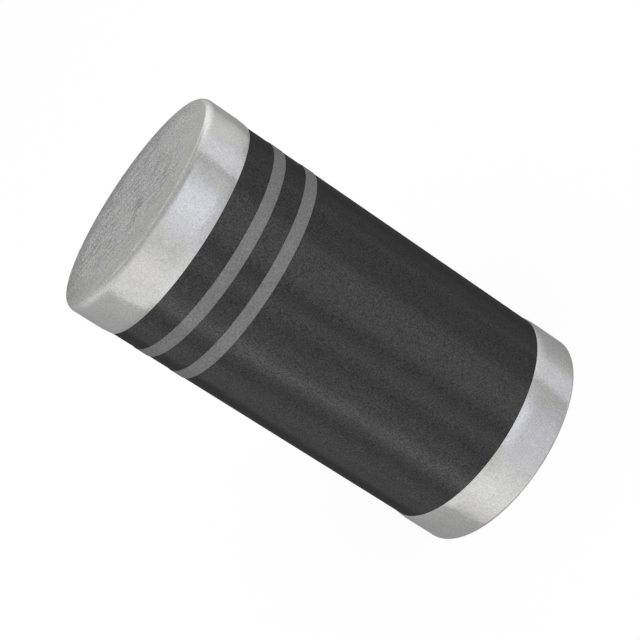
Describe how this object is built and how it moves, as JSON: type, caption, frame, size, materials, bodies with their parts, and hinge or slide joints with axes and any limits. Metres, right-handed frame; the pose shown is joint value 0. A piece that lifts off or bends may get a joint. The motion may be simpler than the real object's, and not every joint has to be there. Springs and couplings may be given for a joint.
{
  "type": "tvs diode",
  "caption": "Leadless cylindrical surge-protection diode: black moulded body, bright solderable end terminals, two printed polarity bands.",
  "frame": {"origin": "centre of the anode end face, which the diode stands on", "axes": "+Z runs along the diode's axis from the anode end to the cathode end, the one with the two bands; X and Y are any two directions across it"},
  "size_m": [0.0026, 0.0026, 0.0049],
  "materials": {
    "tinned_copper": "matt tin plate over copper",
    "moulding": "matt black moulded epoxy",
    "band_ink": "matt grey marking ink",
    "sealing_glass": "fused passivation glass",
    "silicon": "etched silicon",
    "molybdenum": "ground molybdenum",
    "braze": "braze alloy foil"
  },
  "bodies": {
    "root": {"anode_terminal": "tinned_copper", "cathode_terminal": "tinned_copper", "moulded_body": "moulding", "cathode_band": "band_ink", "type_band": "band_ink", "glass_bead": "sealing_glass", "silicon_die": "silicon", "anode_molybdenum_disc": "molybdenum", "cathode_molybdenum_disc": "molybdenum", "anode_terminal_braze": "braze", "anode_die_braze": "braze", "cathode_die_braze": "braze", "cathode_terminal_braze": "braze"}
  },
  "joints": []
}
